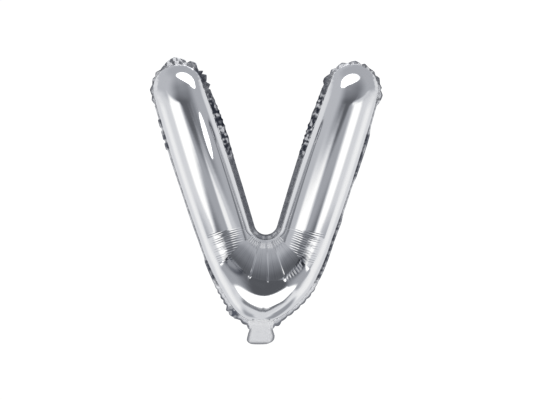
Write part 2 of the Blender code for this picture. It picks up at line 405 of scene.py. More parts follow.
@dataclass(frozen=True)
class FilmPanel:
    """One inflated film sheet with the folds that the bend of the letter presses into it."""

    shape: LetterShape
    finish: FilmFinish
    side: Side
    creases: tuple[Crease, ...] = (
        Crease(turn=math.radians(-16.4), end=0.0700, depth=0.00048),
        Crease(turn=math.radians(2.2), end=0.0725, depth=0.00044),
        Crease(turn=math.radians(19.2), end=0.0735, depth=0.00048),
    )
    # Where the fan's facets face, from its left edge to its right one.
    facets: tuple[float, ...] = tuple(math.radians(turn) for turn in (-32.5, -7.0, 10.5, 30.0))
    fan_from: float = math.radians(-48.6)
    fan_to: float = math.radians(43.8)
    section_steps: int = 96
    ridge_step: int = 49
    fan_step: float = math.radians(0.62)
    ladder_step: float = math.radians(0.38)
    dense_share: float = 0.075
    rim_y: float = 0.0004
    wall: float = 0.0002
    # Where across a rib the fan draws the film in.
    drawn_shares: Span = (0.0, 0.14, 0.52, 0.92)
    ridge_drop: float = 0.0031
    ridge_fade: float = 0.0115
    # Turn in degrees and distance from the crotch's centre.
    ridge: tuple[tuple[float, float], ...] = (
        (-48.6, 0.0638), (-16.4, 0.0705), (2.2, 0.0730), (19.2, 0.0750), (43.8, 0.0640),
    )
    ladder_pitch: float = 0.0029
    ladder_height: float = 0.00010
    ladder_along: Span = (-0.0335, -0.0295, 0.004, 0.013)
    ladder_beside: Span = (-0.027, -0.019, 0.011, 0.021)
    crease_width: float = 0.0007
    crease_spot: float = 0.0016
    crease_start: tuple[float, float] = (0.022, 0.030)
    pleat_pitch: float = math.radians(5.6)
    pleat_height: float = 0.00026
    pleat_turns: tuple[Span, ...] = ((-0.81, -0.71, -0.25, -0.15), (0.23, 0.33, 0.71, 0.81))
    pleat_reach: Span = (0.0215, 0.024, 0.027, 0.040)
    comb_pitch: float = math.radians(3.0)
    comb_height: float = 0.00007
    comb_turns: Span = (0.31, 0.36, 0.86, 0.93)
    cap_pleat_height: float = 0.00016
    cap_step_pitch: float = 0.0023
    cap_step_height: float = 0.00013
    # Painted shade beyond the ridge: turn and reach in degrees, and how much darker the film is painted
    # there.
    ridge_painted_shade: tuple[tuple[float, float, float], ...] = ((-37.0, 20.0, 0.75), (38.0, 19.0, 0.56))
    ridge_painted_shade_past: Span = (-0.0032, -0.0010, 0.001, 0.0125)
    # Painted shade on the comb's folds past the ridge's right end.
    comb_painted_shade: float = 0.38
    comb_painted_shade_turns: Span = (0.52, 0.60, 0.92, 0.98)
    # Painted shade on fine lines down the fan: their pitch and how much darker.
    streak_pitch: float = math.radians(2.3)
    streak_painted_shade: float = 0.15
    # Painted highlights on the crotch's pleats and between its creases: how much lighter, and where.
    tooth_painted_highlight: float = 0.11
    tooth_turns: Span = (0.30, 0.34, 0.80, 0.88)
    tooth_reach: Span = (0.0225, 0.0245, 0.0300, 0.0335)
    block_reach: Span = (0.0245, 0.0260, 0.0310, 0.0345)
    # Painted shade on the arms' inner flanks: the angle they face in degrees, their height, and how
    # much darker.
    flank_angle: float = 46.7
    flank_z: float = 0.254
    flank_painted_shade: float = 0.66

    def ribs(self) -> tuple[Array, Array, Array]:
        """Ribs from the tip of the left cap round the elbow to the tip of the right cap.

        Returns:
            Inner weld points, outer weld points and depths, one row each.
        """
        shape = self.shape
        cap_turn = np.linspace(math.pi / 2, 0, 42)[:-1]
        near_fan = np.arange(0.0, self.dense_share, 0.0022)
        arm_share = np.concatenate([near_fan, np.linspace(self.dense_share, 1.0, 62)])[1:]
        turn = np.concatenate([
            np.arange(-shape.sweep, self.fan_from, self.ladder_step),
            np.arange(self.fan_from, self.fan_to, self.fan_step),
            np.arange(self.fan_to, shape.sweep, self.ladder_step),
            [shape.sweep],
        ])
        # Depths: the arms swell a little, the elbow more, and the caps taper to nothing.
        whole = shape.taper_length + shape.cap_radius
        past = (shape.taper_length + shape.cap_radius * np.sin(cap_turn)) / whole
        end_depth = shape.arm_depth - shape.arm_swell / 2
        cap_depth = end_depth * np.sqrt(1 - past**shape.taper_power)
        arm_length = np.linalg.norm(np.array(shape.cap_centre) - np.array(shape.arm_foot))
        arm_depth = shape.arm_depth + shape.arm_swell * (0.5 - (2 * arm_share - 1) ** 2)
        past = np.clip(1 - (1 - arm_share) * arm_length / shape.taper_length, 0, 1)
        past = past * shape.taper_length / whole
        arm_depth = arm_depth * np.sqrt(1 - past**shape.taper_power)
        belly = shape.belly_depth - shape.arm_depth
        bend_depth = shape.arm_depth + belly * smooth_step(1 - np.abs(turn) / shape.sweep)
        depth = np.concatenate([cap_depth, arm_depth[::-1], bend_depth, arm_depth, cap_depth[::-1]])
        flip = np.array([-1.0, 1.0])
        parts = zip(shape.cap_ends(cap_turn), shape.arm_ends(arm_share), shape.elbow_ends(turn))
        inner, outer = (
            np.concatenate([cap * flip, arm[::-1] * flip, bend, arm, cap[::-1]])
            for cap, arm, bend in parts
        )
        return inner, outer, depth

    def facet_pull(self, turn: Array) -> Array:
        """How far the bend's inner film is drawn in, as a share of the distance from the crotch.

        Between two creases the film is one flat facet, square to the facet's own direction, and
        beyond the fan it goes on as the straight arm's round.

        Args:
            turn: angles from straight down.

        Returns:
            The shares.
        """
        sweep = self.shape.sweep
        edges = [-sweep, self.fan_from, *(crease.turn for crease in self.creases), self.fan_to]
        level, pull = 1.0, np.ones_like(turn)
        for start, end, direction in zip(edges, edges[1:], (-sweep, *self.facets)):
            scale = level / math.cos(start - direction)
            inside = (turn >= start) & (turn < end)
            pull[inside] = scale * np.cos(turn[inside] - direction)
            level = scale * math.cos(end - direction)
        inside = (turn >= self.fan_to) & (turn <= sweep)
        meet = level / math.cos(self.fan_to - sweep)
        to_arm = ease(turn[inside], self.fan_to, sweep)
        pull[inside] = np.cos(turn[inside] - sweep) * (meet + (1 - meet) * to_arm)
        return (1 - pull) * (np.abs(turn) < sweep)

    def soft_pull(self, turn: Array) -> Array:
        """The facets' pull with its corners rounded off, for the belly beyond the fan.

        Args:
            turn: angles from straight down.

        Returns:
            The shares.
        """
        sweep = self.shape.sweep
        even = np.linspace(-1.5 * sweep, 1.5 * sweep, 601)
        weight = np.exp(-np.square(np.linspace(-2.0, 2.0, 161)))
        pull = np.convolve(self.facet_pull(even), weight / weight.sum(), mode="same")
        return np.interp(turn, even, pull) * (np.abs(turn) < 1.5 * sweep)

    def ridge_reach(self, turn: Array) -> Array:
        """Distance of the ridge from the crotch's centre."""
        turns, reaches = np.array(self.ridge).T
        return np.interp(np.degrees(turn), turns, reaches)

    def fall(self, radius: Array, turn: Array) -> Array:
        """How much lower the belly lies beyond the ridge that ends the fan and the arms.

        Args:
            radius: distances from the crotch's centre.
            turn: angles from straight down.

        Returns:
            Depths below the smooth belly.
        """
        past = np.maximum(radius - self.ridge_reach(turn), 1e-6)
        inside = radius * np.sin(np.minimum(turn - self.fan_from, self.fan_to - turn))
        inside = np.maximum(inside, 1e-6)
        away = past * inside / (past**3 + inside**3) ** (1 / 3)
        return self.ridge_drop * (1 - np.exp(-away / self.ridge_fade))

    def wrinkles(self, flat: Array, share: Array) -> Array:
        """Height of the fine folds over the smooth film.

        Args:
            flat: (x, z) of the film's points in the even letter.
            share: place of each point across its rib, 0 at the inner weld, 1 at the outer.

        Returns:
            Heights along the film's own outward direction.
        """
        shape = self.shape
        radius, turn = shape.polar(flat)
        below = np.abs(turn) < shape.sweep + 0.12
        height = np.zeros(radius.shape)
        # Cross wrinkles on both arms, beside the fan.
        for flip, fan_edge in ((-1.0, abs(self.fan_from)), (1.0, abs(self.fan_to))):
            across, along = shape.from_arm(flat, shape.crotch_centre, flip)
            beside = across - shape.crotch_radius - shape.arm_depth
            wander = 0.0006 * np.sin(beside * 130 + flip) + 0.0004 * np.sin(along * 210)
            uneven = 0.75 + 0.25 * np.sin(along * 700 + beside * 60 + 2 * flip)
            rows = wave(along + wander, self.ladder_pitch) * uneven
            rows *= span(along, self.ladder_along) * span(beside, self.ladder_beside)
            inner_end = np.where(share < 0.5, ease(flip * turn, fan_edge, fan_edge + 0.03), 1.0)
            height += self.ladder_height * rows * inner_end * below
        # Creases between the fan's facets, each with a raised spot where it ends.
        for crease in self.creases:
            away = radius * np.sin(turn - crease.turn)
            length = span(radius, (*self.crease_start, crease.end - 0.004, crease.end + 0.002))
            near = np.cos(np.clip(turn - crease.turn, -1, 1)) > 0.9
            height -= crease.depth * np.exp(-((away / self.crease_width) ** 2)) * length * near
            spot = np.hypot(away, (radius - crease.end) * 0.6)
            height += 1.6 * crease.depth * np.exp(-((spot / self.crease_spot) ** 2)) * near
        # Short pleats on both sides of the crotch, in the inner half of the film.
        for turns in self.pleat_turns:
            pleat = wave(turn, self.pleat_pitch) * (share < 0.5) * span(turn, turns)
            height += self.pleat_height * pleat * span(radius, self.pleat_reach)
        # A comb of folds along the ridge, on its right.
        comb = wave(turn, self.comb_pitch) * hump(radius - self.ridge_reach(turn), 0.001, 0.0065)
        return height + self.comb_height * comb * span(turn, self.comb_turns)

    def painted_streak_shade(self, radius: Array, turn: Array) -> Array:
        """How dark the painted shade is on the fine lines that run down the fan.

        Args:
            radius: distances from the crotch's centre.
            turn: angles from straight down.

        Returns:
            0 beside the lines and up to 1 on them.
        """
        line = 0.5 + 0.5 * np.cos(2 * np.pi * turn / self.streak_pitch + 2.0 * np.sin(turn * 23))
        line *= 0.65 + 0.35 * np.sin(turn * 41 + 1)
        inside = (turn > self.fan_from) & (turn < self.fan_to) & (radius < self.ridge_reach(turn))
        return line * ease(radius, 0.030, 0.040) * inside

    def painted_tooth_highlights(self, radius: Array, turn: Array) -> Array:
        """How light the painted highlights are on the short pleats that the crotch's weld draws into
        the fan's top, and on blocks between its creases.

        Args:
            radius: distances from the crotch's centre.
            turn: angles from straight down.

        Returns:
            0 beside the pleats and up to 1 on them.
        """
        rows = ease(wave(turn, self.pleat_pitch), -0.5, 0.7)
        rows *= span(np.abs(turn), self.tooth_turns) * span(radius, self.tooth_reach)
        blocks = sum(hump(turn, crease.turn - 0.165, 0.150) for crease in self.creases[1:])
        return rows + ease(blocks, 0.0, 0.4) * span(radius, self.block_reach)

    def comb_shade(self, past: Array, turn: Array) -> Array:
        """How dark the painted shade on the comb's folds is, past the ridge's right end."""
        line = 0.5 + 0.5 * wave(turn, self.comb_pitch)
        return line * hump(past, 0.0030, 0.0075) * span(turn, self.comb_painted_shade_turns)

    def shades(self, flat: Array, share: Array, facing: Array) -> Array:
        """How light the film is painted, with painted shade and highlights.

        Args:
            flat: (x, z) of the film's points in the even letter.
            share: place of each point across its rib.
            facing: the film's outward direction.

        Returns:
            1 on tight film, less with painted shade beyond the ridge, on folds and on the inner flanks,
            and a little more with painted highlights on pleats.
        """
        radius, turn = self.shape.polar(flat)
        past = radius - self.ridge_reach(turn)
        shade = np.ones(turn.shape)
        # Painted shade just beyond the ridge, starting a little inside the fan's edge.
        for centre, reach, depth in self.ridge_painted_shade:
            ridge_painted_shade = hump(turn, math.radians(centre), math.radians(reach))
            ridge_painted_shade *= span(past, self.ridge_painted_shade_past)
            shade -= depth * ease(ridge_painted_shade, 0.0, 0.5)
        # Painted shade on the comb's folds.
        shade -= self.comb_painted_shade * self.comb_shade(past, turn) * (share < 0.9)
        # Painted shade on the fan's fine lines.
        shade -= self.streak_painted_shade * self.painted_streak_shade(radius, turn)
        # Painted highlights on the crotch's pleats.
        shade += self.tooth_painted_highlight * self.painted_tooth_highlights(radius, turn) * (share < 0.5)
        # Painted shade on the arms' inner flanks, which else mirror the other arm's cap.
        aside = np.degrees(np.arctan2(np.abs(facing[..., 0]), np.abs(facing[..., 1])))
        flank = hump(aside, self.flank_angle, 6.0) * hump(flat[..., 1], self.flank_z, 0.020)
        return shade * (1 - self.flank_painted_shade * ease(flank * (share < 0.5), 0.0, 0.5))

    def gathers(self, flat: Array, share: Array) -> Array:
        """Height of the short gathers at the weld where the outline is round.

        Args:
            flat: (x, z) of the film's points in the even letter.
            share: place of each point across its rib.

        Returns:
            Heights along the film's own outward direction.
        """
        shape = self.shape
        height = np.zeros(share.shape)
        edge = np.minimum(share, 1 - share)
        for flip in (-1.0, 1.0):
            across, up = shape.from_arm(flat, shape.cap_centre, flip)
            off = flat - np.array(shape.cap_centre) * np.array([flip, 1.0])
            around = np.arctan2(off[..., 0], off[..., 1])
            rim = ease(np.hypot(across, up), 0.024, shape.cap_radius)
            pleat = np.cos(around * 34 + 1.3 * np.sin(around * 5 + flip))
            pleat *= rim * ease(up, -0.004, 0.006) * ease(edge, 0.3, 0.1)
            steps = wave(up + 0.0004 * np.sin(around * 3), self.cap_step_pitch)
            steps *= hump(up, -0.003, 0.008) * ease(edge, 0.16, 0.05)
            height += self.cap_pleat_height * pleat + self.cap_step_height * steps
        return height

    def steps_across(self, outer: Array) -> tuple[Array, Array]:
        """Places of the points across each rib, one of them on the ridge where a rib meets it.

        Args:
            outer: outer weld points of the ribs.

        Returns:
            Shares of the rib's length, and which points lie on the ridge.
        """
        tau = np.linspace(0, 1, self.section_steps + 1)
        even = (1 - np.cos(np.pi * tau)) / 2
        radius, turn = self.shape.polar(outer)
        start, sweep = self.shape.crotch_radius, self.shape.sweep
        power = np.log((self.ridge_reach(turn) - start) / (radius - start))
        power /= math.log(even[self.ridge_step])
        bend = ease(turn, -sweep, self.fan_from) * ease(turn, sweep, self.fan_to)
        share = even ** (1 + (power - 1) * bend)[:, None]
        folds = np.zeros(share.shape, dtype=bool)
        folds[:, self.ridge_step] = (turn > self.fan_from) & (turn < self.fan_to)
        return share, folds

    def place_points(self) -> tuple[Array, Array, Array]:
        """Places all the film's points.

        Returns:
            Their places, as (ribs, section steps + 1, 3), how light they are painted and its sharp
            folds.
        """
        inner, outer, depth = self.ribs()
        share, folds = self.steps_across(outer)
        flat = inner[:, None] + (outer - inner)[:, None] * share[..., None]
        radius, turn = self.shape.polar(flat)
        length = np.linalg.norm(outer - inner, axis=-1)[:, None] + 1e-9
        facing_fan = ease(radius - self.ridge_reach(turn), 0.0025, 0.0)
        drawn = self.facet_pull(turn) * facing_fan + self.soft_pull(turn) * (1 - facing_fan)
        drawn *= radius * span(share, self.drawn_shares)
        level = np.clip(share - drawn / length, 0.0, 1.0)
        y = depth[:, None] * 2 * np.sqrt(level * (1 - level))
        y = self.rim_y + np.maximum(y - self.fall(radius, turn) * ease(share, 1.0, 0.8), 0.0)
        points = np.stack([flat[..., 0], self.side.value * y, flat[..., 1]], -1)
        facing = np.cross(np.gradient(points, axis=0), np.gradient(points, axis=1))
        facing /= np.linalg.norm(facing, axis=-1, keepdims=True) + 1e-12
        facing *= np.sign(facing[..., 1:2] * self.side.value + 1e-9)
        rim = ease(np.minimum(share, 1 - share), 0.0, 0.01)
        height = (self.wrinkles(flat, share) + self.gathers(flat, share)) * rim
        # Painted shade and highlights of the film.
        shade = self.shades(flat, share, facing)
        return self.shape.hung(points + facing * height[..., None]), shade, folds

    def build(self) -> list[bpy.types.Object]:
        """Builds the panel, gives it its finish and its body, and hides the part's own panel.

        Returns:
            The panel.
        """
        name = "front_film" if self.side is Side.FRONT else "back_film"
        points, shade, folds = self.place_points()
        panel = sheet_of(name, points, np.array([0.0, self.side.value, 0.0]), shade, folds)
        dress(panel, self.finish, self.wall, -1.0)
        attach(panel, "envelope")
        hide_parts("front_panel" if self.side is Side.FRONT else "back_panel")
        return [panel]


@dataclass(frozen=True)
class SeamBand:
    """The welded band round the letter: flat and dark inside the V, partly by painted shade, scalloped
    where it is round.
    """

    shape: LetterShape
    finish: FilmFinish
    step: float = 0.0007
    columns: int = 14
    overlap: float = 0.0012
    thickness: float = 0.00022
    crumple_size: float = 0.0030
    facet_size: float = 0.0034
    neck_half: float = 0.0140
    straight_width: float = 0.0056
    # Where the caps' and the nose's stretches begin, and are full.
    cap_start: tuple[float, float] = (-0.012, 0.002)
    nose_start: tuple[float, float] = (0.070, 0.044)
    # Middle height and reach of the flaps, and what they add inside the left and the right arm.
    flap_heights: tuple[float, float] = (0.262, 0.060)
    flap_widths: tuple[float, float] = (0.0030, 0.0016)
    rag_depth: float = 0.0012
    nose_width: float = 0.0060
    # Torn film at the nose's left: what it adds, its middle heights and reaches, its right end.
    torn_width: float = 0.0038
    torn_heights: tuple[tuple[float, float], ...] = ((0.0245, 0.010), (0.0090, 0.0022))
    torn_to: float = -0.012
    scallop: float = 0.0088
    # One row for each stretch: inner edge, flaps inside the V, outer edge, where that hangs
    # loose, nose, caps. Each row: the way it leans back at its root and at its edge in degrees,
    # where these meet, crumple in millimetres, and painted light: how light it is painted, how
    # light its rim is painted, how far the painted facets differ.
    leans: tuple[tuple[float, ...], ...] = (
        (1.0, 3.0, 0.6, 0.06, 0.60, 0.60, 0.15),
        (1.0, 6.0, 0.6, 0.30, 0.66, 0.36, 1.00),
        (4.0, 76.0, 0.25, 0.15, 0.80, 0.80, 0.20),
        (3.0, 62.0, 0.45, 0.35, 0.45, 0.25, 0.60),
        (46.0, 40.0, 0.72, 0.12, 1.32, 0.36, 0.10),
        (2.0, 0.0, 0.75, 0.26, 0.95, 0.45, 0.35),
    )
    # Side of the letter and the heights between which its outer edge hangs loose.
    loose_edges: tuple[tuple[float, float, float], ...] = (
        (1, 0.180, 0.266), (1, 0.046, 0.158), (-1, 0.258, 0.272), (-1, 0.242, 0.258),
        (-1, 0.230, 0.242), (-1, 0.046, 0.096),
    )
    # Angle round the cap from straight up in degrees, and width in millimetres.
    left_cap: tuple[tuple[float, float], ...] = (
        (-125, 2.6), (-112, 4.2), (-103, 2.0), (-90, 3.9), (-79, 1.4), (-67, 3.2), (-60, 1.6),
        (-53, 4.0), (-42, 1.8), (-33, 3.4), (-20, 6.6), (-7, 9.6), (5, 7.4), (14, 6.0), (17, 3.2),
        (23, 7.6), (34, 8.4), (41, 4.6), (47, 3.2), (53, 7.8), (56, 3.6), (62, 8.4), (75, 4.6),
        (83, 8.4), (91, 4.2),
    )
    right_cap: tuple[tuple[float, float], ...] = (
        (-92, 6.0), (-82, 5.2), (-75, 7.8), (-68, 7.6), (-56, 3.6), (-48, 5.6), (-39, 3.0),
        (-23, 5.0), (-12, 1.8), (-4, 3.6), (5, 4.6), (15, 2.2), (17, 0.8), (24, 4.0), (36, 1.6),
        (50, 3.0), (57, 1.4), (66, 4.2), (78, 2.4), (86, 4.2), (91, 2.6), (101, 6.0), (118, 4.8),
    )

    def outline(self) -> tuple[Array, Array]:
        """Weld line from the nose's bottom up the right side, round and back up the left.

        Returns:
            The points, evenly spaced, and the side of the letter each is on, -1 or 1.
        """
        shape = self.shape
        share = np.linspace(0, 1, 400)[:-1]
        right = np.concatenate([
            shape.nose_curve(share),
            shape.arm_ends(share)[1],
            shape.cap_points(math.pi * share),
            shape.arm_ends(1 - share)[0],
            shape.crotch_points(shape.sweep * (1 - share)),
            shape.crotch_points(np.array([0.0])),
        ])
        travelled = np.concatenate([[0], np.cumsum(np.linalg.norm(np.diff(right, axis=0), axis=1))])
        even = np.linspace(0, travelled[-1], int(travelled[-1] / self.step))
        right = np.stack([np.interp(even, travelled, right[:, i]) for i in (0, 1)], -1)
        left = right[-2:0:-1] * np.array([-1.0, 1.0])
        sides = np.concatenate([np.ones(len(right)), -np.ones(len(left))])
        return np.concatenate([right, left]), sides

    def reach_of(self, line: Array, sides: Array, travelled: Array) -> tuple[Array, Array]:
        """Width of the band, the way it leans back and its painted light, at each point.

        Args:
            line: weld points.
            sides: -1 or 1 for the side of the letter.
            travelled: distance along the line.

        Returns:
            Widths in metres, and the columns of the table of leans, with a value for each point.
        """
        shape = self.shape
        even = line * np.stack([sides, np.ones(len(line))], -1)
        x, z = line.T
        from_cap = even - np.array(shape.cap_centre)
        inner = from_cap @ shape.across < 0
        crotch = inner & (z > shape.crotch_centre[1] - shape.crotch_radius - 0.002)
        at_cap = ease(from_cap @ shape.along, *self.cap_start)
        at_nose = (~crotch) * ease(z, *self.nose_start)
        outside = (~crotch) * (1 - at_nose) * (1 - at_cap)
        # Straight edges, with wider, ragged flaps on the inner ones.
        flap = hump(z, *self.flap_heights) * inner * (1 - at_cap)
        width = self.straight_width + 0.0006 * np.sin(travelled * 71 + 1) * outside
        width += flap * np.where(sides < 0, *self.flap_widths)
        rag = np.abs(np.sin(travelled * 330 + 2 * np.sin(travelled * 97)))
        width -= flap * self.rag_depth * rag
        # Scallops round the caps, then round the nose.
        angle = np.degrees(np.arctan2(x - sides * shape.cap_centre[0], from_cap[:, 1]))
        for flip, table in ((-1, self.left_cap), (1, self.right_cap)):
            turns, reaches = np.array(table).T
            here = (sides == flip) & (from_cap[:, 1] > -0.03)
            here &= (angle > turns[0]) & (angle < turns[-1])
            width[here] = np.interp(angle[here], turns, reaches) / 1000
        scallop = np.abs(np.sin(np.pi * travelled / self.scallop + 0.6 * np.sin(travelled * 60)))
        low_reach = self.nose_width + 0.0022 * scallop + 0.0030 * ease(z, 0.018, 0.009)
        low_reach += 0.0034 * (sides > 0) * hump(even[:, 0], 0.0190, 0.0085)
        width += (low_reach - width) * at_nose
        # Loose outer edges, and torn film at the nose's left.
        loose = np.zeros(len(line))
        for flip, low, high in self.loose_edges:
            stretch = (sides == flip) * hump(z, (low + high) / 2, (high - low) / 2)
            loose = np.maximum(loose, stretch)
        loose = ease(loose, 0.0, 0.35) * outside
        torn = ease(sum(hump(z, *spot) for spot in self.torn_heights), 0.1, 0.6)
        torn *= at_nose * (sides < 0) * (x < self.torn_to)
        width += self.torn_width * torn
        # The table's rows in their shares, then painted shade and highlights in its last three columns:
        # lighter near the crotch's bottom, darker on torn film and on both caps' inner sides, a lighter
        # rim round the left cap's top, and more facets on torn film.
        slack = ease(flap, 0.0, 0.5)
        smooth = crotch * (1 - at_cap)
        parts = [smooth * (1 - slack), smooth * slack, outside * (1 - loose), outside * loose]
        parts = np.stack([*parts, at_nose, at_cap])
        lean = ((parts / parts.sum(0)).T @ np.array(self.leans)).T
        light, rim, facets = lean[-3:]
        bottom = smooth * ease(z, shape.crotch_centre[1], shape.crotch_centre[1] - 0.014)
        left, right = at_cap * (sides < 0), at_cap * (sides > 0)
        light *= (1 + 0.65 * bottom) * (1 - 0.7 * torn)
        light *= 1 - 0.7 * left * ease(angle, 30.0, 46.0)
        light *= 1 - 0.30 * right * ease(angle, 20.0, -10.0)
        rim *= 1 + 1.2 * left * hump(angle, -12.0, 48.0)
        facets += 0.6 * torn
        return width, lean

    def patches(self, place: Array, sides: Array, size: float, level: float) -> Array:
        """Random patches of a size, the same each run, from -1 to 1, at one level of the noise."""
        return np.array([
            noise.noise(Vector((x / size, z / size, side + level)))
            for x, z, side in zip(place[:, 0], place[:, 1], sides)
        ])

    def place_points(self) -> tuple[Array, Array]:
        """Places the band's points, the last row on the first.

        Returns:
            Their places, as (stations, columns, 3), and how light they are painted.
        """
        line, sides = self.outline()
        along = np.roll(line, -1, 0) - np.roll(line, 1, 0)
        along /= np.linalg.norm(along, axis=1, keepdims=True)
        outward = np.stack([along[:, 1], -along[:, 0]], -1)
        travelled = np.cumsum(np.linalg.norm(np.diff(line, axis=0, prepend=line[:1]), axis=1))
        width, lean = self.reach_of(line, sides, travelled)
        low = line[:, 1] < 0.03
        neck = ease(np.abs(line[:, 0]), self.neck_half + 0.002, self.neck_half - 0.001) * low
        width = width + (line[:, 1] + 0.0006 - width) * neck
        outward = outward * (1 - neck[:, None]) + np.array([0.0, -1.0]) * neck[:, None]
        root, edge, meet, crumple, light, rim, facets = lean
        for part in (root, edge, meet, crumple):
            part *= 1 - neck
        reach = np.linspace(0, 1, self.columns)
        rim_start = 0.59 - 0.13 * ease(line[:, 1], 0.060, 0.040)
        place, y = line - outward * self.overlap, np.zeros(len(line))
        rows, shades = [np.stack([place[:, 0], y, place[:, 1]], -1)], [light]
        place = line.copy()
        for i, share in enumerate(reach):
            if i:
                angle = np.radians(root + (edge - root) * ease(share, meet - 0.10, meet + 0.10))
                stride = width / (self.columns - 1)
                place = place + outward * (stride * np.cos(angle))[:, None]
                y = y + stride * np.sin(angle)
            fold = self.patches(place, sides, self.crumple_size, 0.5)
            pleat = np.sin(travelled * 2 * np.pi / self.scallop + 1.2 * np.sin(travelled * 47))
            lift = crumple * (0.6 * fold + 0.4 * pleat) * share
            rows.append(np.stack([place[:, 0], y + lift / 1000, place[:, 1]], -1))
            # Painted light: the rim painted to its own lightness, and painted highlights and shade on
            # random facets.
            spots = self.patches(place, sides, self.facet_size, 3.5)
            tone = light + (rim - light) * ease(share - rim_start, 0.0, 0.24)
            shades.append(tone * (1 + facets * np.clip(4.0 * spots, -0.8, 1.2)))
        points, shades = np.stack(rows, 1), np.clip(np.stack(shades, 1), 0.05, 1.4)
        points = self.shape.hung(np.concatenate([points, points[:1]]))
        return points, np.concatenate([shades, shades[:1]])

    def build(self) -> list[bpy.types.Object]:
        """Builds the band, gives it its finish and its body, and hides the part's own flange.

        Returns:
            The band.
        """
        points, shades = self.place_points()
        band = sheet_of("welded_seam", points, np.array([0.0, -1.0, 0.0]), shades)
        dress(band, self.finish, self.thickness, 0.0)
        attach(band, "envelope")
        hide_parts("seam_flange")
        return [band]


@dataclass(frozen=True)
class FillingNeck:
    """The flat neck below the nose: two plies that part a little at the mouth."""

    finish: FilmFinish
    valve_finish: FilmFinish
    valve_half: float = 0.0095
    valve_shift: float = -0.0010
    valve_top: float = -0.0012
    valve_bottom: float = -0.0184
    valve_thickness: float = 0.0002
    bottom_z: float = -0.0198
    thickness: float = 0.00015
    ply_y: float = 0.00060
    puff: float = 0.0007
    mouth_sag: float = 0.0004
    # Painted shade along the plies' sides and mouth: how much darker.
    rim_painted_shade: float = 0.70
    # Height, and x of the left and of the right edge.
    side: tuple[tuple[float, float, float], ...] = (
        (0.0115, -0.0165, 0.0175), (0.0040, -0.0145, 0.0160), (0.0, -0.0141, 0.0157),
        (-0.0032, -0.0150, 0.0165), (-0.0058, -0.0161, 0.0174), (-0.0084, -0.0166, 0.0182),
        (-0.0109, -0.0173, 0.0181), (-0.0135, -0.0177, 0.0174), (-0.0148, -0.0176, 0.0166),
        (-0.0161, -0.0168, 0.0153), (-0.0174, -0.0156, 0.0131), (-0.0187, -0.0137, 0.0101),
        (-0.0194, -0.0118, 0.0078),
    )

    def valve_points(self) -> Array:
        """Places the flat valve's points between the plies.

        Returns:
            Their places, as (rows, columns, 3).
        """
        z = np.linspace(self.valve_top, self.valve_bottom, 30)[:, None]
        x = np.linspace(-self.valve_half, self.valve_half, 12)[None, :] + self.valve_shift
        x, z = np.broadcast_arrays(x, z)
        return np.stack([x, np.zeros(x.shape), z], -1)

    def place_points(self, side: Side) -> tuple[Array, Array]:
        """Places one ply's points.

        Args:
            side: the face that the ply makes.

        Returns:
            Their places, as (rows, columns, 3), and how light they are painted.
        """
        heights, left, right = np.array(self.side).T
        z = np.concatenate([np.linspace(heights[0], -0.0150, 30), np.linspace(-0.0154, -0.0194, 11)])
        left, right = np.interp(-z, -heights, left), np.interp(-z, -heights, right)
        u = np.sin(np.linspace(-math.pi / 2, math.pi / 2, 41))
        x = left[:, None] * (1 - u) / 2 + right[:, None] * (1 + u) / 2
        sag = self.mouth_sag * (1 - u**2) * ease(z, -0.012, self.bottom_z)[:, None]
        open_share = ease(z, 0.002, -0.014)[:, None]
        y = self.ply_y + self.puff * open_share * (1 - u**2) ** 0.7
        y = side.value * np.broadcast_to(y, x.shape)
        # Painted shade along the sides and the mouth.
        rim = ease(z, 0.003, -0.002)[:, None] * ease(np.abs(u), 0.72, 0.96)
        rim = np.maximum(rim, ease(z, self.bottom_z + 0.0050, self.bottom_z + 0.0006)[:, None])
        return np.stack([x, y, z[:, None] - sag], -1), 1.0 - self.rim_painted_shade * rim

    def build(self) -> list[bpy.types.Object]:
        """Builds both plies and the valve, gives them their finishes and the valve its body, and hides
        the part's own pieces.

        Returns:
            The three pieces.
        """
        pieces = []
        for side, name, node in (
            (Side.FRONT, "neck_front_film", "neck_front"),
            (Side.BACK, "neck_back_film", "neck_back"),
        ):
            points, shades = self.place_points(side)
            ply = sheet_of(name, points, np.array([0.0, side.value, 0.0]), shades)
            dress(ply, self.finish, self.thickness, -1.0)
            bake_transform(ply)
            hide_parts(node)
            pieces.append(ply)
        valve = sheet_of("valve_film", self.valve_points(), np.array([0.0, -1.0, 0.0]))
        dress(valve, self.valve_finish, self.valve_thickness, 0.0)
        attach(valve, "neck")
        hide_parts("valve_sleeve")
        return [*pieces, valve]


